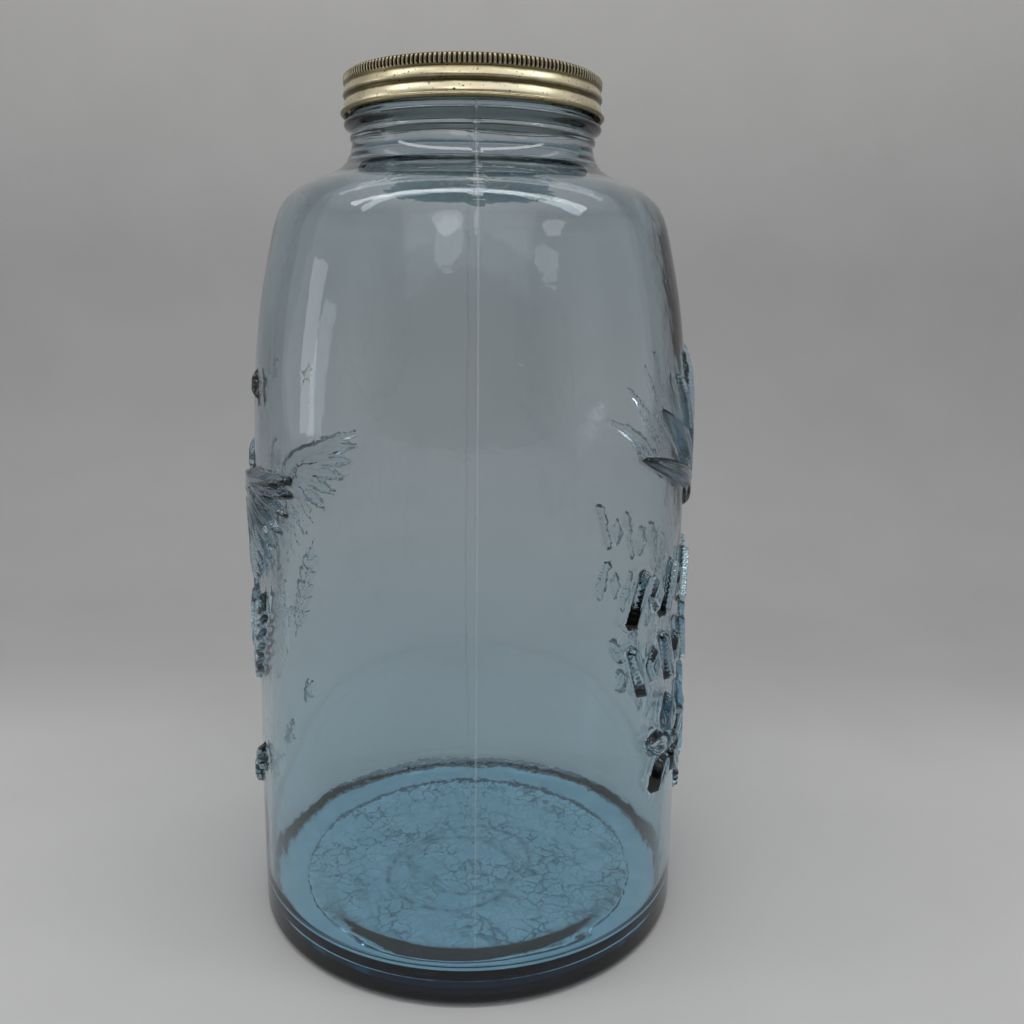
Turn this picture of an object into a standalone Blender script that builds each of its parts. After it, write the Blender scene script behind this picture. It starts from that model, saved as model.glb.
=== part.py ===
"""A giant moulded glass storage jar with a one-piece metal screw cap.

Metres, +Z up, origin on the jar's axis at its resting plane. The jar's mould seams face
-Y and +Y, and its two embossed panels face -X (bird) and +X (ornament).
"""
import math

import bmesh
import bpy
from mathutils import Vector

MM = 0.001
GAP = 0.3 * MM  # clearance between pieces that touch on the real object

# Jar body
SEGMENTS = 48
ADVANCE = math.tau / SEGMENTS
BODY_RADIUS = 110.7 * MM
BASE_REST_RADIUS = 106.7 * MM
BASE_PLATE_RADIUS = 76.0 * MM  # the middle of the base, just clear of the bench
BASE_PLATE_RISE = 0.9 * MM
BASE_GROOVE_RADIUS = 87.5 * MM
BASE_GROOVE_RISE = 3.5 * MM
FLOOR_TOP = 14.0 * MM
HEEL_ROUND = 4.0 * MM
RIM_HEIGHT = 413.2 * MM
MOUTH_RADIUS = 52.3 * MM
# Outside of wall and shoulder, heel to neck: (radius, height)
WALL_OUTLINE = [
    (110.7 * MM, 40 * MM), (109.9 * MM, 100 * MM), (108.4 * MM, 170 * MM),
    (107.7 * MM, 230 * MM), (107.0 * MM, 265 * MM), (104.4 * MM, 297 * MM),
    (100.9 * MM, 320 * MM), (96.6 * MM, 340 * MM), (94.0 * MM, 350 * MM),
    (90.5 * MM, 358 * MM), (84.2 * MM, 364.2 * MM), (75.7 * MM, 368.7 * MM),
    (67.2 * MM, 372.5 * MM), (61.3 * MM, 376.5 * MM), (58.5 * MM, 381.5 * MM),
]

# Inside of the same wall, neck to floor; the glass is thickest at the shoulder
INSIDE_OUTLINE = [
    (52.3 * MM, 377.6 * MM), (57.0 * MM, 373.0 * MM), (66.0 * MM, 367.5 * MM),
    (77.0 * MM, 361.5 * MM), (84.0 * MM, 353.5 * MM), (88.0 * MM, 342.0 * MM),
    (92.5 * MM, 325.0 * MM), (97.8 * MM, 300.0 * MM), (101.2 * MM, 268.0 * MM),
    (102.4 * MM, 225.0 * MM), (103.2 * MM, 170.0 * MM), (104.6 * MM, 100.0 * MM),
    (105.3 * MM, 45.0 * MM), (105.3 * MM, 30.0 * MM),
]
FLOOR_CORNER = 7.0 * MM

# Neck finish: transfer bead, thread root and rim, for a 120 mm continuous-thread cap
NECK_RADIUS = 57.5 * MM
NECK_RING_RADIUS = 58.5 * MM
NECK_RING_HEIGHT = 389.0 * MM
BEAD_RADIUS = 61.3 * MM
BEAD_HEIGHT = 394.6 * MM
THREAD_ROOT_RADIUS = 58.0 * MM

# Thread: 5 threads to the inch, right-handed
PITCH = 5.08 * MM
THREAD_TURNS = 1.25
THREAD_START_HEIGHT = 403.2 * MM
THREAD_CREST_RADIUS = 59.6 * MM
THREAD_ROOT_WIDTH = 2.7 * MM
THREAD_CREST_WIDTH = 1.1 * MM
CAP_THREAD_DROP = 1.8 * MM  # the cap's ridge runs this far below the glass thread
CAP_THREAD_TURNS = 1.25
CAP_THREAD_PHASE = 22.5  # degrees
CAP_THREAD_CREST_RADIUS = 58.95 * MM
CAP_THREAD_ROOT_WIDTH = 2.4 * MM
CAP_THREAD_CREST_WIDTH = 0.9 * MM

# Cap
CAP_TOP = 416.8 * MM
CAP_PLATE = 0.55 * MM
CAP_WALL_INSIDE = 60.2 * MM
CAP_KNURL_RADIUS = 60.9 * MM
CAP_BEAD_RADIUS = 61.3 * MM
CAP_GROOVE_RADIUS = 60.75 * MM
CAP_CURL_RADIUS = 62.5 * MM
CAP_BOTTOM = 398.5 * MM
CAP_PANEL_RADIUS = 53.0 * MM
CAP_PANEL_SINK = 0.8 * MM

# Liner
LINER_RADIUS = 59.6 * MM
FACING_THICKNESS = 0.3 * MM
BOARD_THICKNESS = 1.05 * MM

# Embossing
RELIEF = 4.5 * MM
BIRD_RELIEF = 6.1 * MM
HIGH_STAR_RELIEF = 2.5 * MM
RELIEF_ROOT = 0.9 * MM  # how far each embossed shape reaches into the wall
RELIEF_STEP = 0.13 * MM  # neighbouring shapes differ this much, so their faces never coincide
RELIEF_LEVELS = 5
LOWEST_STAR_HEIGHT = 62 * MM
PALMETTE_LENGTHS = (62 * MM, 63 * MM, 66 * MM, 72 * MM)  # from the middle blade outwards

COLOURS = {
    "jar": ((0.42, 0.62, 0.72, 1), 0.04, 0.0),
    "cap_shell": ((0.72, 0.60, 0.32, 1), 0.3, 1.0),
    "liner_board": ((0.62, 0.56, 0.46, 1), 0.9, 0.0),
    "liner_facing": ((0.86, 0.85, 0.80, 1), 0.5, 0.0),
}


def clear_scene():
    for item in list(bpy.data.objects):
        bpy.data.objects.remove(item, do_unlink=True)


def material(name):
    colour, roughness, metallic = COLOURS[name]
    made = bpy.data.materials.new(name)
    made.use_nodes = True
    shader = made.node_tree.nodes["Principled BSDF"]
    shader.inputs["Base Color"].default_value = colour
    shader.inputs["Roughness"].default_value = roughness
    shader.inputs["Metallic"].default_value = metallic
    return made


def add_object(name, vertices, faces, slot=None):
    mesh = bpy.data.meshes.new(name)
    mesh.from_pydata([tuple(v) for v in vertices], [], faces)
    work = bmesh.new()
    work.from_mesh(mesh)
    bmesh.ops.recalc_face_normals(work, faces=work.faces)
    work.to_mesh(mesh)
    work.free()
    made = bpy.data.objects.new(name, mesh)
    bpy.context.scene.collection.objects.link(made)
    if slot:
        mesh.materials.append(material(slot))
    return made


def polar(radius, angle, height):
    return Vector((radius * math.cos(angle), radius * math.sin(angle), height))


def smooth_points(points, steps):
    """A Catmull-Rom curve through the points, with steps spans between each two."""
    ends = [points[0]] + list(points) + [points[-1]]
    curve = []
    for before, start, end, after in zip(ends, ends[1:], ends[2:], ends[3:]):
        for step in range(steps):
            t = step / steps
            curve.append(tuple(
                0.5 * (2 * b + (c - a) * t + (2 * a - 5 * b + 4 * c - d) * t * t
                       + (3 * b - a - 3 * c + d) * t ** 3)
                for a, b, c, d in zip(before, start, end, after)))
    curve.append(tuple(points[-1]))
    return curve


def arc(centre, radius, start, end, steps):
    """Points (radius, height) on an arc; the angles are in degrees."""
    angles = [math.radians(start + (end - start) * k / steps) for k in range(steps + 1)]
    return [(centre[0] + radius * math.cos(a), centre[1] + radius * math.sin(a))
            for a in angles]


def lathe(name, outline, slot=None):
    """Turns a closed outline of (radius, height) about Z. Radius 0 makes a pole."""
    vertices = []
    rings = []
    for radius, height in outline:
        if radius == 0:
            rings.append([len(vertices)] * SEGMENTS)
            vertices.append((0, 0, height))
            continue
        rings.append(list(range(len(vertices), len(vertices) + SEGMENTS)))
        vertices.extend(polar(radius, k * ADVANCE, height) for k in range(SEGMENTS))
    faces = []
    for lower, upper in zip(rings, rings[1:] + rings[:1]):
        for k in range(SEGMENTS):
            after = (k + 1) % SEGMENTS
            corners = [lower[k], lower[after], upper[after], upper[k]]
            corners = list(dict.fromkeys(corners))
            if len(corners) > 2:
                faces.append(corners)
    return add_object(name, vertices, faces, slot)


def helix_ridge(name, wall, crest, root_width, crest_width, start_height, turns, phase=0):
    """A tapered thread: four corners of its section swept up a right-hand helix."""
    steps = round(turns * SEGMENTS)
    fade = 4  # steps over which each end of the thread runs out into the wall
    vertices = []
    for k in range(steps + 1):
        angle = phase + k * ADVANCE
        height = start_height + PITCH * angle / math.tau
        share = min(1, k / fade, (steps - k) / fade)
        tip = wall + (crest - wall) * (0.12 + 0.88 * share)
        vertices += [
            polar(wall - math.copysign(0.25 * MM, crest - wall), angle, height - root_width / 2),
            polar(tip, angle, height - crest_width / 2),
            polar(tip, angle, height + crest_width / 2),
            polar(wall - math.copysign(0.25 * MM, crest - wall), angle, height + root_width / 2),
        ]
    faces = [[0, 1, 2, 3], [4 * steps + 3, 4 * steps + 2, 4 * steps + 1, 4 * steps]]
    for k in range(steps):
        for corner in range(4):
            after = (corner + 1) % 4
            faces.append([4 * k + corner, 4 * k + 4 + corner, 4 * k + 4 + after, 4 * k + after])
    return add_object(name, vertices, faces)


def unite(target, tool, solver="EXACT"):
    """Adds tool to target for good. EXACT drops the wall when it meets a whole embossed
    panel at once, so the panels are joined with MANIFOLD."""
    join = target.modifiers.new("unite", "BOOLEAN")
    join.operation = "UNION"
    join.object = tool
    join.solver = solver
    bpy.context.view_layer.update()
    evaluated = target.evaluated_get(bpy.context.evaluated_depsgraph_get())
    result = bpy.data.meshes.new_from_object(evaluated)
    target.modifiers.clear()
    target.data = result
    bpy.data.objects.remove(tool, do_unlink=True)


def island_of(face, seen):
    """Every face joined to this one by edges; seen collects them."""
    found = [face]
    seen.add(face)
    for near in found:
        for edge in near.edges:
            for other in edge.link_faces:
                if other not in seen:
                    seen.add(other)
                    found.append(other)
    return found


def drop_slivers(target):
    """Keeps the largest body of a mesh, without the specks that a union can leave."""
    work = bmesh.new()
    work.from_mesh(target.data)
    seen = set()
    islands = [island_of(face, seen) for face in work.faces if face not in seen]
    islands.sort(key=len)
    for island in islands[:-1]:
        bmesh.ops.delete(work, geom=island, context="FACES")
    work.to_mesh(target.data)
    work.free()


# ---- Jar ------------------------------------------------------------------------------

def wall_radius(height):
    """Outside radius of the plain wall at a height."""
    if height <= WALL_OUTLINE[0][1]:
        return WALL_OUTLINE[0][0]
    curve = smooth_points(WALL_OUTLINE, 4)
    for (low_r, low_z), (high_r, high_z) in zip(curve, curve[1:]):
        if low_z <= height <= high_z:
            return low_r + (high_r - low_r) * (height - low_z) / (high_z - low_z)
    return curve[-1][0]


def jar_outside():
    underside = [
        (0, BASE_PLATE_RISE),
        (BASE_PLATE_RADIUS, BASE_PLATE_RISE),
        (BASE_GROOVE_RADIUS, BASE_GROOVE_RISE),
        (BASE_GROOVE_RADIUS + 3 * MM, 1.2 * MM),
        (BASE_GROOVE_RADIUS + 5.5 * MM, 0),
        (BASE_REST_RADIUS, 0),
    ]
    heel = arc((BODY_RADIUS - HEEL_ROUND, HEEL_ROUND), HEEL_ROUND, -78, 0, 5)
    neck = [
        (NECK_RADIUS, 386.2 * MM),
        (NECK_RING_RADIUS, NECK_RING_HEIGHT - 1.2 * MM),
        (NECK_RING_RADIUS, NECK_RING_HEIGHT + 0.6 * MM),
        (NECK_RADIUS + 0.4 * MM, 391.2 * MM),
        (BEAD_RADIUS, BEAD_HEIGHT - 1 * MM),
        (BEAD_RADIUS, BEAD_HEIGHT + 1 * MM),
        (THREAD_ROOT_RADIUS, 397.6 * MM),
        (THREAD_ROOT_RADIUS, RIM_HEIGHT - 2 * MM),
        (THREAD_ROOT_RADIUS - 1.6 * MM, RIM_HEIGHT),
    ]
    return underside + heel + WALL_OUTLINE + neck


def jar_inside():
    """From the rim down the inner wall to the middle of the floor."""
    rim = [(MOUTH_RADIUS + 1.2 * MM, RIM_HEIGHT), (MOUTH_RADIUS, RIM_HEIGHT - 1.5 * MM)]
    corner_centre = (INSIDE_OUTLINE[-1][0] - FLOOR_CORNER, FLOOR_TOP + FLOOR_CORNER)
    corner = arc(corner_centre, FLOOR_CORNER, 0, -84, 4)
    return rim + INSIDE_OUTLINE + corner + [(0, FLOOR_TOP)]


def wrap(shape, side, rise, lowered):
    """A raised shape on the wall. Its points are (arc length, height), its faces run
    anticlockwise as seen from outside, and side is the angle that arc length 0 stands for."""
    points, faces = shape
    vertices = []
    for level in (-RELIEF_ROOT - lowered, rise - lowered):
        for s, z in points:
            vertices.append(polar(wall_radius(z) + level, side + s / BODY_RADIUS, z))
    count = len(points)
    edges = {(a, b) for face in faces for a, b in zip(face, face[1:] + face[:1])}
    shell = [face[::-1] for face in faces]
    shell += [[k + count for k in face] for face in faces]
    shell += [[a, b, b + count, a + count] for a, b in sorted(edges) if (b, a) not in edges]
    return add_object("relief", vertices, shell)


def placed(shape, centre, turn=0.0):
    """Turns a flat shape and moves it to its place on the wall."""
    points, faces = shape
    c, s = math.cos(turn), math.sin(turn)
    return [(centre[0] + c * x - s * y, centre[1] + s * x + c * y) for x, y in points], faces


def star(size):
    points = []
    for k in range(10):
        reach = size if k % 2 == 0 else size * 0.42
        angle = math.radians(90 + 36 * k)
        points.append((reach * math.cos(angle), reach * math.sin(angle)))
    points.append((0, 0))
    return points, [[k, (k + 1) % 10, 10] for k in range(10)]


def blade(length, width):
    """A leaf or feather that starts at the origin and points along +X."""
    points = [(0, -0.18 * width), (0.3 * length, -0.5 * width), (0.72 * length, -0.45 * width),
              (length, 0), (0.72 * length, 0.45 * width), (0.3 * length, 0.5 * width),
              (0, 0.18 * width)]
    return points, [[0, 1, 5, 6], [1, 2, 4, 5], [2, 3, 4]]


def wing(way):
    """Fanned flight feathers and the arm of the wing, on the side that way names."""
    shapes = []
    for k in range(5):
        angle = math.radians(5 - 20 * k)
        root = (way * (42 - 6.5 * k) * MM, (228 - 4.6 * k) * MM)
        direction = angle if way > 0 else math.pi - angle
        shapes.append(placed(blade((46 - 2.6 * k) * MM, 13 * MM), root, direction))
    arm = math.radians(90 - way * 64)
    return shapes + [placed(blade(46 * MM, 16 * MM), (way * 4 * MM, 210 * MM), arm)]


def bird_outlines():
    """A spread-winged bird's legs, tail, body and head."""
    shapes = []
    for way in (-1, 1):
        leg = math.radians(-90 + way * 26)
        shapes.append(placed(blade(30 * MM, 8 * MM), (way * 9 * MM, 162 * MM), leg))
        side_tail = math.radians(-90 + way * 15)
        shapes.append(placed(blade(36 * MM, 9 * MM), (way * 5 * MM, 150 * MM), side_tail))
    shapes.append(placed(blade(70 * MM, 28 * MM), (0, 217 * MM), -math.pi / 2))
    shapes.append(placed(blade(28 * MM, 14 * MM), (0, 210 * MM), math.pi / 2))
    return shapes


def sprig_outlines(foot, way, length, pairs):
    """A laurel sprig: a stem with a leaf on each side at every step."""
    lean = math.radians(90 - way * 23)
    shapes = [placed(blade(length, 3.4 * MM), foot, lean)]
    for k in range(pairs):
        reach = length * (0.22 + 0.68 * k / (pairs - 1))
        at = (foot[0] + reach * math.cos(lean), foot[1] + reach * math.sin(lean))
        for turn in (-48, 48):
            shapes.append(placed(blade(11 * MM, 4.6 * MM), at, lean + math.radians(turn)))
    return shapes


def bird_panel():
    """Pairs of a shape and how far it stands out."""
    shapes = [(shape, BIRD_RELIEF) for shape in bird_outlines()]
    for way in (-1, 1):
        shapes += [(shape, RELIEF) for shape in wing(way)]
        sprig = sprig_outlines((way * 32 * MM, 128 * MM), way, 50 * MM, 3)
        shapes += [(shape, RELIEF) for shape in sprig]
        shapes.append((placed(star(8 * MM), (way * 43 * MM, 276 * MM)), HIGH_STAR_RELIEF))
        for s, z in ((22, 73), (45, 90)):
            shapes.append((placed(star(9 * MM), (way * s * MM, z * MM)), RELIEF))
    return shapes


def palmette_outlines():
    """A fan of long blades round one root."""
    shapes = []
    for k in range(-3, 4):
        turn = math.radians(90 - 24 * k)
        foot = (14 * MM * math.cos(turn), 220 * MM + 14 * MM * math.sin(turn))
        shapes.append(placed(blade(PALMETTE_LENGTHS[abs(k)], 12 * MM), foot, turn))
    return shapes


def lattice_row(height, tall, count, span):
    """A row of upright blades that lean alternately left and right."""
    shapes = []
    for k in range(count):
        lean = math.radians(17 if k % 2 else -17)
        foot = (span * (k / (count - 1) - 0.5) - tall / 2 * math.sin(lean), height - tall / 2)
        shapes.append(placed(blade(tall, tall * 0.3), foot, math.pi / 2 - lean))
    return shapes


def rosette(centre, petals, size):
    """Petals round an open centre."""
    shapes = []
    for k in range(petals):
        turn = math.tau * k / petals + math.pi / 2
        foot = (centre[0] + size * 0.3 * math.cos(turn), centre[1] + size * 0.3 * math.sin(turn))
        shapes.append(placed(blade(size * 0.7, size * 0.36), foot, turn))
    return shapes


def ornament_panel():
    """Pairs of a shape and how far it stands out."""
    shapes = palmette_outlines()
    shapes += lattice_row(184 * MM, 25 * MM, 7, 168 * MM)
    shapes += lattice_row(150 * MM, 25 * MM, 7, 168 * MM)
    for k in (-1, 0, 1):
        shapes += rosette((k * 52 * MM, 104 * MM), 5, 25 * MM)
    return [(shape, RELIEF) for shape in shapes]


def build_jar():
    jar = lathe("jar", jar_outside() + jar_inside(), "jar")
    for side, panel in ((math.pi, bird_panel()), (0, ornament_panel())):
        relief = wrap(placed(star(10 * MM), (0, LOWEST_STAR_HEIGHT)), side, RELIEF, 0)
        for k, (shape, rise) in enumerate(panel):
            unite(relief, wrap(shape, side, rise, (k % RELIEF_LEVELS + 1) * RELIEF_STEP))
        unite(jar, relief, "MANIFOLD")
    thread = helix_ridge("thread", THREAD_ROOT_RADIUS, THREAD_CREST_RADIUS, THREAD_ROOT_WIDTH,
                         THREAD_CREST_WIDTH, THREAD_START_HEIGHT, THREAD_TURNS)
    unite(jar, thread)
    drop_slivers(jar)
    return jar


# ---- Cap and liner --------------------------------------------------------------------

def build_cap():
    rim_corner = (CAP_KNURL_RADIUS - 2.2 * MM, CAP_TOP - 2.2 * MM)
    outside = (
        [(0, CAP_TOP - CAP_PANEL_SINK), (CAP_PANEL_RADIUS, CAP_TOP - CAP_PANEL_SINK),
         (CAP_PANEL_RADIUS + 2 * MM, CAP_TOP)]
        + arc(rim_corner, 2.2 * MM, 90, 0, 4)
        + [(CAP_KNURL_RADIUS, 412.2 * MM), (CAP_GROOVE_RADIUS, 411.2 * MM),
           (CAP_BEAD_RADIUS, 410.0 * MM), (CAP_BEAD_RADIUS, 408.2 * MM),
           (CAP_GROOVE_RADIUS, 407.0 * MM), (CAP_GROOVE_RADIUS, 405.0 * MM),
           (CAP_BEAD_RADIUS, 404.0 * MM), (CAP_BEAD_RADIUS, 402.0 * MM),
           (CAP_GROOVE_RADIUS, 401.2 * MM), (CAP_CURL_RADIUS - 0.5 * MM, 400.6 * MM),
           (CAP_CURL_RADIUS, 399.8 * MM), (CAP_CURL_RADIUS - 0.3 * MM, 399.0 * MM),
           (CAP_CURL_RADIUS - 1.0 * MM, CAP_BOTTOM)]
    )
    inside_top = CAP_TOP - CAP_PANEL_SINK - CAP_PLATE
    inside = [
        (CAP_WALL_INSIDE + 0.2 * MM, CAP_BOTTOM + 0.3 * MM), (CAP_WALL_INSIDE, 400.2 * MM),
        (CAP_WALL_INSIDE, inside_top - 1.0 * MM), (CAP_WALL_INSIDE - 0.5 * MM, inside_top),
        (0, inside_top),
    ]
    cap = lathe("cap_shell", outside + inside, "cap_shell")
    start = THREAD_START_HEIGHT - CAP_THREAD_DROP
    unite(cap, helix_ridge("roll", CAP_WALL_INSIDE, CAP_THREAD_CREST_RADIUS,
                           CAP_THREAD_ROOT_WIDTH, CAP_THREAD_CREST_WIDTH, start,
                           CAP_THREAD_TURNS, math.radians(CAP_THREAD_PHASE)))
    return cap


def disc(name, low, high, radius):
    return lathe(name, [(0, low), (radius, low), (radius, high), (0, high)], name)


def build_liner():
    facing_low = RIM_HEIGHT + GAP
    facing_high = facing_low + FACING_THICKNESS
    board_low = facing_high + GAP
    disc("liner_facing", facing_low, facing_high, LINER_RADIUS)
    disc("liner_board", board_low, board_low + BOARD_THICKNESS, LINER_RADIUS)


def finish(made):
    made.data.shade_smooth()
    made.data.set_sharp_from_angle(angle=math.radians(35))


clear_scene()
finish(build_jar())
finish(build_cap())
build_liner()
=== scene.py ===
"""Looks for a giant pale-blue glass storage jar with a gold-lacquered screw cap."""
import math

import bpy
import numpy as np
from mathutils import Matrix, Vector


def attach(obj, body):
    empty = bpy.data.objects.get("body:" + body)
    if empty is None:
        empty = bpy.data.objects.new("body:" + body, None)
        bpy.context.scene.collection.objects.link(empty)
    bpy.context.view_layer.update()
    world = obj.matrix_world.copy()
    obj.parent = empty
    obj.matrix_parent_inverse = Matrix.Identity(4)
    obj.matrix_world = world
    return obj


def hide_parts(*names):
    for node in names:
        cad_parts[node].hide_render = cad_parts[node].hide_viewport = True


MM = 0.001
WHITE = (1, 1, 1)

# ---- Jar outline in mm: (radius, height) -------------------------------------------------
UNDERSIDE = [(0.6, 0.9), (60.0, 0.9), (74.0, 0.9), (77.5, 1.15), (86.0, 3.25), (87.5, 3.5)]
BEARING_RING = [  # an upright step out of the groove, then flat
    (88.0, 3.5), (88.1, 3.4), (88.15, 3.3), (88.15, 0.25), (88.2, 0.05), (88.35, 0.0), (93.0, 0.0),
    (98.0, 0.0), (103.0, 0.0), (106.4, 0.0),
]
BODY_RADIUS = 110.7
HEEL_ROUND = 4.0
WALL_OUTLINE = [
    (110.7, 4.5), (110.7, 40), (109.9, 100), (108.4, 170), (107.7, 230), (107.0, 265),
    (104.4, 297), (100.9, 320), (96.6, 340), (94.0, 350), (90.5, 358), (84.2, 364.2),
    (75.7, 368.7), (67.2, 372.5), (61.3, 376.5), (58.5, 381.5), (57.5, 386.2),
]
NECK_OUTLINE = [
    (57.5, 386.9), (57.9, 387.4), (58.4, 388.0), (58.6, 388.8), (58.4, 389.7), (57.9, 390.4),
    (57.9, 391.2), (58.6, 392.0), (60.0, 392.9), (61.0, 393.7), (61.3, 394.6), (61.1, 395.5),
    (60.4, 396.3), (59.2, 397.0), (58.2, 397.6),
]
INSIDE_OUTLINE = [
    (52.3, 376.6), (52.5, 374.9), (53.9, 373.2), (57.4, 371.2), (66.0, 366.9), (77.0, 361.5),
    (84.0, 353.5), (88.0, 342.0), (92.5, 325.0), (97.8, 300.0), (101.2, 268.0), (102.4, 225.0),
    (103.2, 170.0), (104.6, 100.0), (105.3, 45.0), (105.3, 22.0),
]
BORE_RADIUS, BORE_TOP, BORE_BOTTOM = 52.3, 409, 379
INSIDE_RADIUS = 105.3
FLOOR_TOP = 14.0
FLOOR_CORNER = 7.0
RIM_HEIGHT = 413.2
RIM_ROUND = 1.4
PITCH = 5.08
THREAD_TURNS = 1.25
THREAD_START = 403.2
THREAD_ROOT, THREAD_CREST = 58.0, 59.6
THREAD_BOTTOM, THREAD_TOP, THREAD_ROWS = 398.3, 411.3, 25
SEAM_ANGLE = math.radians(-86.25)
SEAM_RISE, SEAM_HALF_WIDTH = 0.40, 0.85
NECK_RIPPLE_HEIGHT, NECK_RIPPLE_REACH = 373.0, 4.5
NECK_RIPPLE_BOTTOM, NECK_RIPPLE_TOP = 369.5, 376
JAR_COLUMNS = 144
JAR_REFINE = 5

# ---- Emboss heights above the wall, mm -----------------------------------------------------
RELIEF = 4.3
BIRD_RELIEF = 5.9
LOW_RELIEF = 2.4
PANEL_HALF_ANGLE = math.radians(52)
PANEL_BOTTOM, PANEL_TOP = 46, 304
SMALLEST_RELIEF = 0.08  # a cell with less height difference than this is left coarse

# ---- Cap in mm ---------------------------------------------------------------------------
CAP_COLUMNS = 180
CAP_REFINE = 6
FLUTE_DEPTH = 0.75
KNURL_BOTTOM, KNURL_TOP, KNURL_FADE = 412.4, 416.3, 0.4
CAP_WALL_INSIDE = 60.2
CAP_RIDGE_CREST = 58.95
CAP_RIDGE_START = THREAD_START - 1.8
CAP_RIDGE_PHASE = math.radians(22.5)


# ---- Curves ------------------------------------------------------------------------------

def spline(points, spacing):
    """Points about spacing apart along a Catmull-Rom curve through points."""
    points = np.array(points, float)
    ends = np.vstack([points[:1], points, points[-1:]])
    curve = []
    for before, start, end, after in zip(ends, ends[1:], ends[2:], ends[3:]):
        steps = max(1, round(float(np.linalg.norm((end - start)[:2])) / spacing))
        t = (np.arange(steps) / steps)[:, None]
        curve.append(0.5 * (2 * start + (end - before) * t
                            + (2 * before - 5 * start + 4 * end - after) * t * t
                            + (3 * start - before - 3 * end + after) * t ** 3))
    return np.vstack(curve + [points[-1:]])


def arc(centre, radius, start, end, steps):
    angles = np.radians(np.linspace(start, end, steps + 1))
    return np.stack([centre[0] + radius * np.cos(angles), centre[1] + radius * np.sin(angles)], 1)


def straight(start, end, count):
    """Count points from start to end."""
    return np.linspace(start, end, count)


def toward(point, turn, reach):
    """The point at reach from point in the direction turn, in degrees."""
    turn = math.radians(turn)
    return point[0] + reach * math.cos(turn), point[1] + reach * math.sin(turn)


# ---- Embossed motifs: height above the wall at (arc length, height) ------------------------

def swell(inside, bevel):
    """0 outside, rising to 1 with a round shoulder at bevel inside the edge."""
    t = np.clip(inside / bevel, 0, 1)
    return np.sqrt(np.clip(1 - (1 - t) ** 2, 0, 1)) * np.clip(t * 3, 0, 1)


def blade(s, z, foot, turn, length, width, rise, bend=0.0, vein=0.0, bevel=2.2):
    """A leaf or feather from foot, pointing along turn (degrees) and bent sideways."""
    c, n = math.cos(math.radians(turn)), math.sin(math.radians(turn))
    along = (s - foot[0]) * c + (z - foot[1]) * n
    across = -(s - foot[0]) * n + (z - foot[1]) * c
    t = np.clip(along / length, 0, 1)
    across = across - bend * length * t * t
    half = width / 2 * np.clip(np.sin(math.pi * t ** 0.75), 0, 1) ** 0.62
    beyond = np.maximum(np.maximum(-along, along - length), 0)
    inside = half - np.abs(across) - beyond * 3
    height = rise * swell(inside, min(bevel, width * 0.42))
    if vein:
        height = height - vein * np.exp(-(across / 0.8) ** 2) * np.clip(inside, 0, 1)
    return height


def star(s, z, centre, size, rise):
    """A five-pointed star with a ridge down each point."""
    x, y = s - centre[0], z - centre[1]
    fifth = 2 * math.pi / 5
    angle = (np.arctan2(x, y) + fifth / 2) % fifth - fifth / 2
    reach = np.hypot(x, y)
    u, v = reach * np.cos(angle), np.abs(reach * np.sin(angle))
    inner = 0.42 * size
    edge = np.array((inner * math.cos(fifth / 2) - size, inner * math.sin(fifth / 2)))
    edge = edge / np.linalg.norm(edge)
    inside = v * edge[0] - (u - size) * edge[1]
    return rise * swell(inside, 2.4)


def bar(s, z, start, end, width, rise, bevel=2.0):
    """A straight bar with round ends."""
    start, end = np.array(start, float), np.array(end, float)
    way = end - start
    t = np.clip(((s - start[0]) * way[0] + (z - start[1]) * way[1]) / float(way @ way), 0, 1)
    away = np.hypot(s - start[0] - t * way[0], z - start[1] - t * way[1])
    return rise * swell(width / 2 - away, bevel)


def stroke(s, z, points, widths, rise):
    """A flowing stroke through points, of varying width."""
    curve = spline([(*p, w) for p, w in zip(points, widths)], 4.0)
    parts = [bar(s, z, a[:2], b[:2], (a[2] + b[2]) / 2, rise) for a, b in zip(curve, curve[1:])]
    return np.maximum.reduce(parts)


def dome(s, z, centre, half_width, half_height, rise):
    """A swelling oval boss."""
    left = 1 - ((s - centre[0]) / half_width) ** 2 - ((z - centre[1]) / half_height) ** 2
    return rise * np.clip(left, 0, 1) ** 0.32


def sprig(s, z, foot, lean, length):
    """A laurel sprig: a stem with pairs of veined leaves and one at the tip."""
    parts = [blade(s, z, foot, lean, length, 3.0, RELIEF * 0.7, bevel=1.3)]
    for k in range(5):
        at = toward(foot, lean, length * (0.14 + 0.17 * k))
        for turn in (-46, 46):
            parts.append(blade(s, z, at, lean + turn, 15 - k, 5.2, RELIEF * 0.8, 0, 0.5, 1.7))
    parts.append(blade(s, z, toward(foot, lean, length * 0.86), lean, 14, 5.2, RELIEF * 0.8, 0, 0.5))
    return parts


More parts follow.
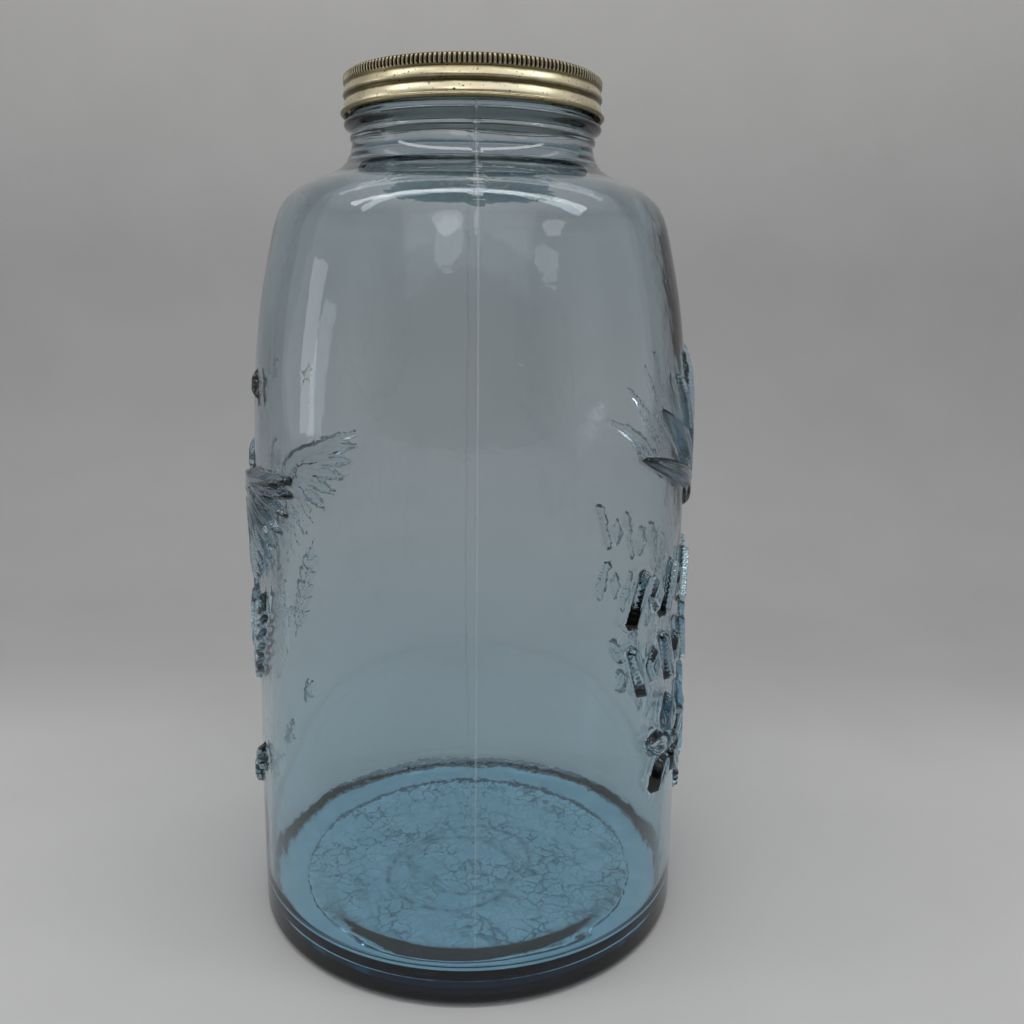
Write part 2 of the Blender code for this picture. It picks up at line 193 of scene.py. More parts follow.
def half_bird(s, z):
    """One wing, leg and half tail, and the sprig and stars beside them."""
    parts = []
    for k in range(10):
        foot = (43 - 3.1 * k, 229 - 2.2 * k)
        turn = 5 - 9.4 * k
        parts.append(blade(s, z, foot, turn, 46 - 1.3 * k, 7.6, RELIEF - 0.35 * (k % 2), -0.06, 0.9))
    for k in range(8):
        foot = (32 - 2.8 * k, 224 - 2.1 * k)
        parts.append(blade(s, z, foot, 0 - 11 * k, 27 - k, 6.2, RELIEF + 0.45, -0.05, 0.7))
    for k in range(5):
        foot = (20 - 2.4 * k, 219 - 3 * k)
        parts.append(blade(s, z, foot, -8 - 15 * k, 16, 5.4, RELIEF + 0.95, 0, 0.5))
    arm = [(5, 213), (18, 224), (34, 230), (50, 232), (68, 235), (86, 237)]
    parts.append(stroke(s, z, arm, (11, 12, 10, 7.5, 5.5, 3.0), RELIEF + 0.7))
    parts.append(blade(s, z, (8, 168), -66, 24, 9, RELIEF + 0.9))
    for k in range(3):
        parts.append(blade(s, z, (17, 148), -96 + 36 * k, 10, 3.8, RELIEF, bevel=1.5))
    for k in range(3):
        parts.append(blade(s, z, (1 + 2.2 * k, 156), -88 + 8 * k, 42 - 3 * k, 7, RELIEF, 0, 0.8))
    parts += sprig(s, z, (32, 126), 67, 50)
    for centre in ((22, 73), (45, 90)):
        parts.append(star(s, z, centre, 9.0, RELIEF))
    return parts


def bird_panel(s, z):
    """A generic spread-winged bird between laurel sprigs, with stars above and below."""
    parts = half_bird(s, z) + half_bird(-s, z)
    body = dome(s, z, (0, 188), 14.0, 38, BIRD_RELIEF)
    row = np.floor(z / 6.5)
    scale = np.hypot((s + 3.2 * (row % 2)) % 6.4 - 3.2, (z % 6.5) - 6.5)
    parts.append(body - 0.55 * (np.abs(scale - 4.0) < 0.9) * (body > 4))
    parts.append(dome(s, z, (1.5, 237), 8.5, 9.0, BIRD_RELIEF))
    parts.append(blade(s, z, (7, 238), -20, 11, 5.6, RELIEF, -0.2))
    parts.append(blade(s, z, (0, 210), 86, 28, 14, RELIEF + 1.2))
    for centre in ((-43, 276), (0, 284), (43, 276)):
        parts.append(star(s, z, centre, 8.5, LOW_RELIEF))
    parts.append(star(s, z, (0, 62), 10.0, RELIEF))
    return np.maximum.reduce(parts)


def lozenge(s, z, centre, half_width, half_height, rise):
    reach = np.abs(s - centre[0]) / half_width + np.abs(z - centre[1]) / half_height
    return rise * swell((1 - reach) * half_width * 0.85, 2.0)


def ornament_panel(s, z):
    """A palmette over two rows of leaning bars and lozenges and a row of rosettes."""
    parts = []
    for k in range(-4, 5):
        turn = 90 - 17.5 * k
        length = (62, 63, 65, 69, 74)[abs(k)]
        foot = toward((0, 222), turn, 13)
        parts.append(blade(s, z, foot, turn, length, 9.5, RELIEF, -0.05 * np.sign(k), 1.0))
    for k in range(-4, 4):
        turn = 90 - 17.5 * (k + 0.5)
        parts.append(blade(s, z, toward((0, 222), turn, 15), turn, 36, 5.6, RELIEF * 0.85, 0, 0.6))
    parts.append(dome(s, z, (0, 222), 12, 8.5, RELIEF + 1.0))
    for height, lean in ((184, 4.0), (150, -4.0)):
        for k in range(7):
            x = -84 + 28 * k
            parts.append(bar(s, z, (x - lean, height - 10), (x + lean, height + 10), 6.4, RELIEF))
        for k in range(6):
            parts.append(lozenge(s, z, (-70 + 28 * k, height), 6.2, 9.5, RELIEF * 0.8))
    for x in (-52, 0, 52):
        for k in range(5):
            turn = 72 * k + 90
            foot = toward((x, 104), turn, 6.5)
            parts.append(blade(s, z, foot, turn, 19, 12, RELIEF, 0, 1.1))
        parts.append(dome(s, z, (x, 104), 4.2, 4.2, RELIEF * 0.8))
    for x in (-26, 26):
        parts.append(blade(s, z, (x, 84), 90, 44, 7.2, RELIEF, 0, 0.8))
    parts.append(star(s, z, (0, 62), 10.0, RELIEF))
    return np.maximum.reduce(parts)


def relief_height(angle, z):
    """Emboss height at an angle about +Z from +X."""
    turned = (angle + math.pi) % (2 * math.pi) - math.pi
    height = np.zeros_like(z)
    for panel, offset in ((ornament_panel, turned), (bird_panel, (angle % (2 * math.pi)) - math.pi)):
        near = (np.abs(offset) < PANEL_HALF_ANGLE) & (z > PANEL_BOTTOM) & (z < PANEL_TOP)
        if near.any():
            height[near] = panel(offset[near] * BODY_RADIUS, z[near])
    return np.maximum(height, 0)


# ---- Turned meshes ---------------------------------------------------------------------------

def make_mesh(name, points, faces):
    mesh = bpy.data.meshes.new(name)
    mesh.from_pydata(points.tolist(), [], faces)
    mesh.shade_smooth()
    made = bpy.data.objects.new(name, mesh)
    bpy.context.scene.collection.objects.link(made)
    return made


def finer(rows, kinds, refine):
    """Rows with refine - 1 more between each two; a new row takes the kind of the one before."""
    steps = np.arange(refine) / refine
    between = rows[:-1, None] + (rows[1:] - rows[:-1])[:, None] * steps[None, :, None]
    fine = np.vstack([between.reshape(-1, 2), rows[-1:]])
    return fine, np.append(np.repeat(kinds[:-1], refine), kinds[-1])


def turned_mesh(name, rows, kinds, columns, refine, wanted, shape):
    """Rows turned about Z; cells that wanted names are refined, and neighbours share edges."""
    fine_rows, fine_kinds = finer(rows, kinds, refine)
    turns = columns * refine
    used, faces = {}, []

    def vertex(j, i):
        return used.setdefault((j, i % turns), len(used))

    def side(cell_wanted, ends, between):
        return ends + ([vertex(*at) for at in between] if cell_wanted else [])

    high_cells = len(rows) - 1
    for j in range(high_cells):
        low, high = j * refine, (j + 1) * refine
        below = wanted[j - 1] if j else wanted[j] & False
        above = wanted[j + 1] if j + 1 < high_cells else wanted[j] & False
        for i in range(columns):
            west, east = i * refine, (i + 1) * refine
            if wanted[j, i]:
                faces += [(vertex(y, x), vertex(y, x + 1), vertex(y + 1, x + 1), vertex(y + 1, x))
                          for y in range(low, high) for x in range(west, east)]
                continue
            faces.append(tuple(
                side(below[i], [vertex(low, west)], [(low, x) for x in range(west + 1, east)])
                + side(wanted[j, (i + 1) % columns], [vertex(low, east)],
                       [(y, east) for y in range(low + 1, high)])
                + side(above[i], [vertex(high, east)], [(high, x) for x in range(east - 1, west, -1)])
                + side(wanted[j, i - 1], [vertex(high, west)],
                       [(y, west) for y in range(high - 1, low, -1)])))
    last = high_cells * refine
    faces.append(tuple(vertex(0, i * refine) for i in range(columns))[::-1])
    faces.append(tuple(vertex(last, i * refine) for i in range(columns)))
    keys = np.array(list(used))
    angle = keys[:, 1] * 2 * math.pi / turns
    radius, height = fine_rows[keys[:, 0]].T
    out, up = shape(angle, radius.copy(), height.copy(), fine_kinds[keys[:, 0]])
    points = np.stack([out * np.cos(angle), out * np.sin(angle), up], 1) * MM
    return make_mesh(name, points, faces)


def ridge_profile(angle, z, start, turns, phase, flat, foot):
    """0 to 1 across a helical ridge that climbs one pitch a turn and fades at both ends."""
    lap = ((angle - phase) % (2 * math.pi)) / (2 * math.pi)
    best = np.zeros_like(z)
    for total in (lap, lap + 1):
        fade = np.clip(np.minimum(total, turns - total) / 0.06, 0, 1)
        away = np.abs(z - start - PITCH * total)
        best = np.maximum(best, fade * np.clip((foot - away) / (foot - flat), 0, 1))
    return best


def waves(angle, z, terms):
    """A gentle, repeatable unevenness."""
    return sum(amount * np.sin(laps * angle + rise * z + phase) for laps, rise, phase, amount in terms)


# ---- Jar ---------------------------------------------------------------------------------

# Waves are (waves round the jar, radians per mm up, phase, amount in mm).
OUTER_WAVES = [(3, 0.011, 0.4, 0.10), (7, -0.017, 1.9, 0.05), (13, 0.030, 4.0, 0.018)]
INNER_WAVES = [(2, 0.009, 1.1, 0.40), (5, -0.014, 2.7, 0.20), (9, 0.021, 0.3, 0.09),
               (17, -0.035, 5.1, 0.03)]
NECK_WAVES = [(9, 0.5, 1.0, 0.12), (31, 1.1, 0.3, 0.11), (53, -1.6, 2.0, 0.08), (71, 0.7, 4.0, 0.05)]
FLOOR_WAVES = [(2, 0.05, 0.2, 0.25), (3, -0.09, 1.4, 0.15)]


def jar_rows():
    """The jar's closed outline from the middle of its underside to the middle of its floor."""
    parts = [
        ("underside", np.vstack([spline(UNDERSIDE, 5.0), BEARING_RING])),
        ("heel", arc((BODY_RADIUS - HEEL_ROUND, HEEL_ROUND), HEEL_ROUND, -84, -8, 12)),
        ("wall", spline(WALL_OUTLINE, 4.0)),
        ("neck", np.array(NECK_OUTLINE)),
        ("thread", straight((THREAD_ROOT, THREAD_BOTTOM), (THREAD_ROOT, THREAD_TOP), THREAD_ROWS)),
        ("rim", arc((THREAD_ROOT - RIM_ROUND, RIM_HEIGHT - RIM_ROUND), RIM_ROUND, 0, 90, 4)),
        ("rim", arc((BORE_RADIUS + RIM_ROUND, RIM_HEIGHT - RIM_ROUND), RIM_ROUND, 90, 180, 4)),
        ("bore", straight((BORE_RADIUS, BORE_TOP), (BORE_RADIUS, BORE_BOTTOM), 13)),
        ("inside", spline(INSIDE_OUTLINE, 6.5)),
        ("floor", arc((INSIDE_RADIUS - FLOOR_CORNER, FLOOR_TOP + FLOOR_CORNER), FLOOR_CORNER, -5, -85, 10)),
        ("floor", straight((92, FLOOR_TOP), (0.6, FLOOR_TOP), 13)),
    ]
    rows = np.vstack([rows for _, rows in parts])
    rows[:, 0] = np.minimum(rows[:, 0], BODY_RADIUS)
    return rows, np.array([kind for kind, rows in parts for _ in rows])


def seam_height(angle, radius):
    """The fine ridge that the mould halves leave down both sides."""
    away = np.abs(np.sin(angle - SEAM_ANGLE)) * radius
    return SEAM_RISE * np.clip(1 - away / SEAM_HALF_WIDTH, 0, 1)


def jar_shape(angle, radius, height, kind):
    """The finished glass surface from the plain outline, in mm."""
    out, up = radius.copy(), height.copy()
    wall = kind == "wall"
    turned, z = angle[wall], height[wall]
    relief = relief_height(turned, z)
    calm = np.clip((z - 20) / 30, 0, 1) * np.clip((372 - z) / 20, 0, 1) * np.sin(turned) ** 2
    out[wall] += relief + seam_height(turned, radius[wall]) * np.clip((z - 55) / 30, 0, 1)
    out[wall] += waves(turned, z, OUTER_WAVES) * calm * np.clip((110.5 - radius[wall]) / 0.4, 0, 1)
    neck = kind == "neck"
    out[neck] += seam_height(angle[neck], radius[neck]) * 0.6 + 0.12 * np.sin(5 * angle[neck] + 1)
    thread = kind == "thread"
    out[thread] += (THREAD_CREST - THREAD_ROOT) * ridge_profile(
        angle[thread], height[thread], THREAD_START, THREAD_TURNS, 0, 0.55, 1.35)
    inside = kind == "inside"
    depth = np.clip((RIM_HEIGHT - 35 - height[inside]) / 20, 0, 1)
    out[inside] += waves(angle[inside], height[inside], INNER_WAVES) * depth
    near_neck = np.exp(-((height[inside] - NECK_RIPPLE_HEIGHT) / NECK_RIPPLE_REACH) ** 2)
    out[inside] -= waves(angle[inside], height[inside], NECK_WAVES) * near_neck * (
        0.6 + 0.4 * np.sin(angle[inside]))
    floor = kind == "floor"
    up[floor] += waves(angle[floor], radius[floor], FLOOR_WAVES) * np.clip(radius[floor] / 30, 0, 1)
    return out, np.maximum(up, 0)


def cells_to_refine(rows, kinds):
    """The cells that hold an emboss edge or a seam, and the ripples inside the neck."""
    probe = 6
    wanted = np.zeros((len(rows) - 1, JAR_COLUMNS), bool)
    angle = np.arange(JAR_COLUMNS * probe) / probe * 2 * math.pi / JAR_COLUMNS
    for j in np.flatnonzero(kinds[:-1] == "wall"):
        z = np.linspace(rows[j][1], rows[j + 1][1], probe)
        height = relief_height(*np.meshgrid(angle, z)).reshape(probe, JAR_COLUMNS, probe)
        wanted[j] = height.max(axis=(0, 2)) - height.min(axis=(0, 2)) > SMALLEST_RELIEF
    moulded = np.isin(kinds[:-1], ("wall", "neck")) & (rows[:-1, 1] > 50)
    for seam in (SEAM_ANGLE, SEAM_ANGLE + math.pi):
        wanted[moulded, int(seam % (2 * math.pi) * JAR_COLUMNS / (2 * math.pi))] = True
    height = rows[:-1, 1]
    rippled = (kinds[:-1] == "inside") & (height > NECK_RIPPLE_BOTTOM) & (height < NECK_RIPPLE_TOP)
    wanted[np.ix_(rippled, np.arange(JAR_COLUMNS // 2))] = True
    return wanted


def build_jar():
    rows, kinds = jar_rows()
    wanted = cells_to_refine(rows, kinds)
    return turned_mesh("jar_glass", rows, kinds, JAR_COLUMNS, JAR_REFINE, wanted, jar_shape)


# ---- Cap ---------------------------------------------------------------------------------

def cap_rows():
    """The cap's closed outline: over the top, down the outside and back up the inside."""
    top = [(0.5, 416.0), (30.0, 416.0), (52.0, 416.0), (53.0, 416.05), (54.4, 416.5), (55.6, 416.8),
           (58.6, 416.8), (59.6, 416.65)]
    knurl = [(60.2, 416.3), (60.6, 415.6), (60.7, 414.9), (60.7, 413.6), (60.6, 412.4)]
    bead = [(60.4, 411.9), (60.25, 411.4), (60.35, 410.9), (60.6, 410.2), (60.9, 409.4),
            (61.15, 408.6), (61.3, 407.9), (61.25, 407.4), (60.95, 407.0)]
    groove = [(60.5, 406.6), (60.3, 406.1), (60.25, 405.5), (60.35, 404.9)]
    low = [(60.55, 404.3), (60.85, 403.5), (61.1, 402.7), (61.28, 401.9), (61.3, 401.4),
           (61.1, 401.0)]
    curl = [(61.2, 400.8), (61.8, 400.55), (62.25, 400.2), (62.45, 399.8), (62.4, 399.3),
            (62.0, 398.8), (61.5, 398.55), (61.0, 398.6), (60.6, 398.9), (60.4, 399.4)]
    inner = [(CAP_WALL_INSIDE, z) for z in np.linspace(399.9, 414.2, 26)]
    under = [(60.0, 414.9), (59.6, 415.3), (59.0, 415.45), (30.0, 415.45), (0.5, 415.45)]
    parts = [("top", top), ("knurl", knurl), ("side", bead + groove + low + curl),
             ("inner", inner), ("under", under)]
    return (np.array([row for _, rows in parts for row in rows], float),
            np.array([kind for kind, rows in parts for _ in rows]))


def cap_shape(angle, radius, height, kind):
    """Flutes round the knurl and the rolled thread inside the wall, in mm."""
    out = radius.copy()
    knurl = kind == "knurl"
    flute = np.abs(np.sin(angle[knurl] * CAP_COLUMNS / 2)) ** 1.3
    from_end = np.minimum(height[knurl] - KNURL_BOTTOM, KNURL_TOP - height[knurl])
    ends = np.clip(from_end / KNURL_FADE, 0, 1)
    out[knurl] += FLUTE_DEPTH * ends * (flute - 0.5)
    inner = kind == "inner"
    out[inner] -= (CAP_WALL_INSIDE - CAP_RIDGE_CREST) * ridge_profile(
        angle[inner], height[inner], CAP_RIDGE_START, THREAD_TURNS, CAP_RIDGE_PHASE, 0.45, 1.2)
    side = kind == "side"
    out[side] += 0.035 * waves(angle[side], height[side], [(5, 0.7, 0.2, 1), (13, 1.1, 2.0, 0.6)])
    return out, height


def build_cap():
    rows, kinds = cap_rows()
    wanted = np.zeros((len(rows) - 1, CAP_COLUMNS), bool)
    wanted[(kinds[:-1] == "knurl") & (kinds[1:] == "knurl")] = True
    return turned_mesh("cap_gold", rows, kinds, CAP_COLUMNS, CAP_REFINE, wanted, cap_shape)


# ---- Materials ----------------------------------------------------------------------------

class Look:
    """A node material whose patterns follow the object's own coordinates."""

    def __init__(self, name, roughness, metallic=0.0):
        self.material = bpy.data.materials.new(name)
        self.material.use_nodes = True
        self.tree = self.material.node_tree
        self.shader = self.tree.nodes["Principled BSDF"]
        self.shader.inputs["Roughness"].default_value = roughness
        self.shader.inputs["Metallic"].default_value = metallic
        self.place = self.add("TexCoord").outputs["Object"]

    def add(self, kind, **settings):
        node = self.tree.nodes.new("ShaderNode" + kind)
        for key, value in settings.items():
            if key in node.inputs:
                node.inputs[key].default_value = value
            else:
                setattr(node, key, value)
        return node

    def feed(self, target, source):
        """Link target to a node's output, or set it to a number, a vector or a colour."""
        if isinstance(source, bpy.types.NodeSocket):
            self.tree.links.new(source, target)
        elif target.type == "RGBA":
            target.default_value = (*source, 1)
        else:
            target.default_value = source

    def shade(self, **inputs):
        """Feed the shader's own inputs, with _ for a space in a name."""
        for name, source in inputs.items():
            self.feed(self.shader.inputs[name.replace("_", " ")], source)

    def math(self, operation, *values):
        node = self.add("Math", operation=operation)
        for target, value in zip(node.inputs, values):
            self.feed(target, value)
        return node.outputs[0]

    def vector(self, operation, *values):
        node = self.add("VectorMath", operation=operation)
        for target, value in zip(node.inputs, values):
            self.feed(target, value)
        return node.outputs

    def axes(self):
        """X, Y and Z of the object's own coordinates."""
        split = self.add("SeparateXYZ")
        self.feed(split.inputs[0], self.place)
        return split.outputs[:]

    def times(self, first, second):
        return self.math("MULTIPLY", first, second)

    def within(self, source, low, high):
        """1 where source is between low and high."""
        return self.times(self.math("GREATER_THAN", source, low), self.math("LESS_THAN", source, high))

    def fade(self, source, low, high, start=0.0, end=1.0, kind="LINEAR"):
        """From start where source is low to end where it is high."""
        node = self.add("MapRange", interpolation_type=kind)
        sizes = {"Value": source, "From Min": low, "From Max": high, "To Min": start, "To Max": end}
        for name, value in sizes.items():
            self.feed(node.inputs[name], value)
        return node.outputs["Result"]

    def band(self, source, middle, half_width):
        """1 at middle, falling to 0 at half_width from it."""
        away = self.math("ABSOLUTE", self.math("SUBTRACT", source, middle))
        return self.fade(away, 0.0, half_width, 1.0, 0.0)

    def across(self, shift=(0, 0, 0)):
        """Distance from the object's upright axis, or from one shifted the other way."""
        flat = self.vector("MULTIPLY_ADD", self.place, (1, 1, 0), shift)["Vector"]
        return self.vector("LENGTH", flat)["Value"]

    def noise(self, scale, detail=3.0, roughness=0.5, output="Fac"):
        node = self.add("TexNoise", Scale=scale, Detail=detail, Roughness=roughness)
        self.feed(node.inputs["Vector"], self.place)
        return node.outputs[output]

    def ramp(self, source, stops):
        node = self.add("ValToRGB")
        elements = node.color_ramp.elements
        while len(elements) < len(stops):
            elements.new(0.5)
        for element, (position, colour) in zip(elements, stops):
            element.position = position
            element.color = (*colour, 1)
        self.feed(node.inputs["Fac"], source)
        return node.outputs["Color"]

    def blend(self, kind, first, second, amount=1.0):
        """Two colours put together as kind says, by amount."""
        node = self.add("Mix", data_type="RGBA", blend_type=kind)
        for place, value in ((0, amount), (6, first), (7, second)):
            self.feed(node.inputs[place], value)
        return node.outputs[2]

    def bump(self, source, strength, distance, below=None):
        node = self.add("Bump", Strength=strength, Distance=distance)
        self.feed(node.inputs["Height"], source)
        if below is not None:
            self.feed(node.inputs["Normal"], below)
        return node.outputs["Normal"]


# Where the tints and the painted shade lie on the glass, in metres from its axis and its foot; angles are
# in radians.
CRACKLE_RADIUS = 0.0875
UNDERSIDE_TOP = 0.0045
BASE_RINGS = [(0.0335, 0.0026, (0, 0, 0)), (0.0340, 0.0034, (0.009, 0.013, 0))]
STIPPLE_RADIUS, STIPPLE_HALF_WIDTH = 0.0888, 0.0022
STIPPLE_ANGLE, STIPPLE_LEAST = 0.84, 0.0775
HEEL_RADIUS, HEEL_TOP = 0.1072, 0.0136
NECK_SHADE_HEIGHT, NECK_SHADE_REACH = 0.3745, 0.0085
SEAM_SCUFF, SEAM_BOTTOM, SEAM_TOP = 0.0006, 0.03, 0.40
FAR_OUT = 0.2


def greys(*stops):
    """Ramp stops from (position, grey) pairs."""
    return [(position, (grey, grey, grey)) for position, grey in stops]


def underside_tint(look, height, radius):
    """Fine broken crackle, two pressed rings, a stippled arc and a mottle under the base."""
    under = look.within(height, -0.001, UNDERSIDE_TOP)
    bend = look.noise(90.0, 4.0, output="Color")
    bent = look.vector("MULTIPLY_ADD", bend, (0.016, 0.016, 0.0), look.place)["Vector"]
    patchy = look.times(look.ramp(look.noise(34, 3.0), greys((0.38, 0.25), (0.56, 1))),
                        look.within(radius, -1.0, CRACKLE_RADIUS))
    marks = 0.0
    for scale, width, patches in ((125.0, 0.11, patchy),
                                  (230.0, 0.08, look.times(patchy, look.noise(50, 2.0)))):
        cells = look.add("TexVoronoi", feature="DISTANCE_TO_EDGE", Scale=scale)
        look.feed(cells.inputs["Vector"], bent)
        cracks = look.ramp(cells.outputs["Distance"], greys((0.0, 1), (width, 0)))
        marks = look.math("MAXIMUM", marks, look.times(cracks, patches))
    worn = look.ramp(look.noise(170, 4.0), greys((0.40, 0.35), (0.60, 1)))
    for ring_radius, half_width, shift in BASE_RINGS:
        ring = look.band(look.across(shift), ring_radius, half_width)
        marks = look.math("MAXIMUM", marks, look.times(ring, worn))
    middle = (math.cos(STIPPLE_ANGLE), math.sin(STIPPLE_ANGLE), 0)
    nearby = look.within(look.vector("DOT_PRODUCT", look.place, middle)["Value"], STIPPLE_LEAST, FAR_OUT)
    dots = look.ramp(look.noise(620, 1.0), greys((0.42, 0), (0.52, 1)))
    stipple = look.times(look.times(look.band(radius, STIPPLE_RADIUS, STIPPLE_HALF_WIDTH), dots), nearby)
    marks = look.math("MAXIMUM", marks, stipple)
    marked = look.ramp(look.times(marks, under), [(0.0, WHITE), (1.0, (0.02, 0.06, 0.10))])
    mottle = look.ramp(look.noise(48, 5.0, 0.7), [(0.36, (0.62, 0.74, 0.80)), (0.60, WHITE)])
    return look.blend("MULTIPLY", marked, look.blend("MIX", WHITE, mottle, under))


def wall_tint_and_shade(look, height, radius, depth):
    """Bluer toward the base, a painted navy shade at the heel with painted glints and a painted lighter far
    side, and painted shade round the bottom of the bore.
    """
    body = look.ramp(look.fade(height, 0.03, 0.25), [(0.0, (0.80, 0.92, 0.97)), (1.0, WHITE)])
    # Painted shade: the heel is near-black navy, with painted glints and painted light on its far side.
    heel = look.times(look.within(radius, HEEL_RADIUS, FAR_OUT), look.within(height, 0.0002, HEEL_TOP))
    behind = look.fade(depth, -0.035, 0.02, kind="SMOOTHSTEP")
    glints = look.ramp(look.noise(42, 3.0), [
        (0.55, (0.0006, 0.0018, 0.0055)), (0.72, (0.010, 0.05, 0.13))])
    paler = look.ramp(behind, [(0.0, (0, 0, 0)), (1.0, (0.22, 0.36, 0.46))])
    tint_and_heel_shade = look.blend("MIX", body, look.blend("ADD", glints, paler), heel)
    # Painted shade: a dark ring round the bottom of the bore, stronger on the far side.
    shade = look.ramp(look.band(height, NECK_SHADE_HEIGHT, NECK_SHADE_REACH), [
        (0.0, WHITE), (0.4, (0.60, 0.72, 0.78)), (0.8, (0.09, 0.19, 0.23))])
    bore = look.times(look.within(radius, 0.0515, 0.0556), look.within(height, 0.3700, 0.3830))
    amount = look.times(bore, look.fade(depth, -0.03, 0.02, 0.15, 1.0))
    return look.blend("MIX", tint_and_heel_shade, look.blend("MULTIPLY", tint_and_heel_shade, shade), amount)


def glass_look():
    """Pale blue glass, with a scuffed mould seam down both sides."""
    look = Look("blue_glass", 0.0)
    depth, height = look.axes()[1:]
    radius = look.across()
    seam_side = (-math.sin(SEAM_ANGLE), math.cos(SEAM_ANGLE), 0)
    from_seam = look.vector("DOT_PRODUCT", look.place, seam_side)["Value"]
    seam = look.times(look.band(from_seam, 0.0, SEAM_SCUFF), look.within(height, SEAM_BOTTOM, SEAM_TOP))
    slow = look.bump(look.noise(14, 2.0), 0.30, 0.0012)
    look.shade(
        IOR=1.51,
        Transmission_Weight=look.fade(seam, 0.0, 1.0, 1.0, 0.80),
        Base_Color=look.blend("MULTIPLY", wall_tint_and_shade(look, height, radius, depth),
                              underside_tint(look, height, radius)),
        Normal=look.bump(look.noise(110, 3.0), 0.14, 0.0005, slow))
    volume = look.add("VolumeAbsorption", Color=(0.15, 0.43, 0.55, 1), Density=37.0)
    look.feed(look.tree.nodes["Material Output"].inputs["Volume"], volume.outputs["Volume"])
    return look.material


def gold_look():
    """Pale gold lacquer, speckled, with grime and painted shade in the grooves, painted shade between the
    flutes and painted highlights on their crests.
    """
    look = Look("gold_lacquer", 0.22, metallic=1.0)
    x, y, z = look.axes()
    soft = look.ramp(look.noise(60, 4.0), [(0.35, (0.84, 0.74, 0.50)), (0.65, (0.98, 0.89, 0.65))])
    specks = look.ramp(look.noise(850, 2.0, 0.6), [(0.31, (0.10, 0.08, 0.04)), (0.37, WHITE)])
    up_the_wall = look.math("MULTIPLY_ADD", look.noise(130, 4.0), 0.05, look.fade(z, 0.398, 0.417))
    # Grime and painted shade: dark bands at the curl, the groove and the knurl.
    grime_and_shade = look.ramp(up_the_wall, [
        (0.05, (0.30, 0.29, 0.24)), (0.14, (0.34, 0.32, 0.26)), (0.19, WHITE), (0.36, WHITE),
        (0.40, (0.13, 0.12, 0.08)), (0.48, (0.13, 0.12, 0.08)), (0.55, (0.95, 0.95, 0.92)),
        (0.66, (0.95, 0.95, 0.92)), (0.72, (0.20, 0.18, 0.12)), (0.79, (0.34, 0.31, 0.24)),
        (0.95, (0.34, 0.31, 0.24)), (0.98, (0.30, 0.27, 0.20))])
    turns = look.times(look.math("ARCTAN2", y, x), CAP_COLUMNS / 2)
    flute = look.math("ABSOLUTE", look.math("SINE", turns))
    # Painted shade between the flutes and a painted bluish highlight on their crests.
    flute_shade_and_highlight = look.ramp(flute, [(0.50, (0.08, 0.07, 0.05)), (0.95, (1.8, 1.95, 2.5))])
    edge = look.within(look.across(), 0.0592, 0.1)
    knurl = look.times(look.within(z, 0.4122, 0.4163), edge)
    grime_and_shade = look.blend("MULTIPLY", grime_and_shade, look.blend("MIX", WHITE, flute_shade_and_highlight, knurl))
    grime_and_shade = look.blend("MIX", WHITE, grime_and_shade, edge)
    look.shade(
        Base_Color=look.blend("MULTIPLY", look.blend("MULTIPLY", soft, specks), grime_and_shade),
        Roughness=look.fade(look.noise(140, 4.0), 0.0, 1.0, 0.22, 0.42),
        Normal=look.bump(look.noise(420, 3.0), 0.08, 0.0002))
    return look.material


def board_look(name, low, high):
    """Matte board or coated paper, mottled between two colours."""
    look = Look(name, 0.85)
    look.shade(
        Base_Color=look.ramp(look.noise(300, 6.0, 0.7), [(0.3, low), (0.7, high)]),
        Normal=look.bump(look.noise(900, 4.0), 0.3, 0.0002))
    return look.material


# ---- Stage, lights and camera -----------------------------------------------------------------

SWEEP_HALF_WIDTH = 2.4
SWEEP_FRONT, COVE_START, COVE_ROUND, WALL_TOP = -2.6, 0.45, 0.35, 1.7
AIR_UNDER_GLASS = 0.4 * MM


def build_stage():
    """A pale seamless sweep: floor, cove and back wall, the wall darker low down with painted shade."""
    low = -AIR_UNDER_GLASS
    cove = arc((COVE_START, low + COVE_ROUND), COVE_ROUND, -90, 0, 16)
    profile = [(SWEEP_FRONT, low), *cove, (COVE_START + COVE_ROUND, WALL_TOP)]
    points = np.array([(x, y, z) for x in (-SWEEP_HALF_WIDTH, SWEEP_HALF_WIDTH) for y, z in profile])
    count = len(profile)
    faces = [(k, k + count, k + count + 1, k + 1) for k in range(count - 1)]
    sweep = make_mesh("sweep", points, faces)
    look = Look("sweep_paper", 0.9)
    depth, height = look.axes()[1:]
    paper = look.ramp(look.noise(9, 5.0), [(0.3, (0.70, 0.695, 0.69)), (0.7, (0.735, 0.73, 0.725))])
    # Painted shade low on the back wall, fading to pale paper up high.
    up_the_wall = look.fade(height, 0.15, 0.85, kind="SMOOTHSTEP")
    wall = look.ramp(up_the_wall, [(0.0, (0.68, 0.68, 0.69)), (1.0, (0.98, 0.97, 0.95))])
    tone_and_wall_shade = look.blend("MIX", (0.9, 0.9, 0.9), wall, look.fade(depth, 0.10, 0.34, kind="SMOOTHSTEP"))
    look.shade(Base_Color=look.blend("MULTIPLY", paper, tone_and_wall_shade))
    sweep.data.materials.append(look.material)


def softbox(name, place, aim, size, watts, shape="RECTANGLE", colour=WHITE):
    data = bpy.data.lights.new(name, "AREA")
    data.shape = shape
    data.size, data.size_y = size
    data.energy = watts
    data.color = colour
    light = bpy.data.objects.new(name, data)
    bpy.context.scene.collection.objects.link(light)
    light.rotation_euler = (Vector(aim) - Vector(place)).to_track_quat("-Z", "Y").to_euler()
    light.location = place


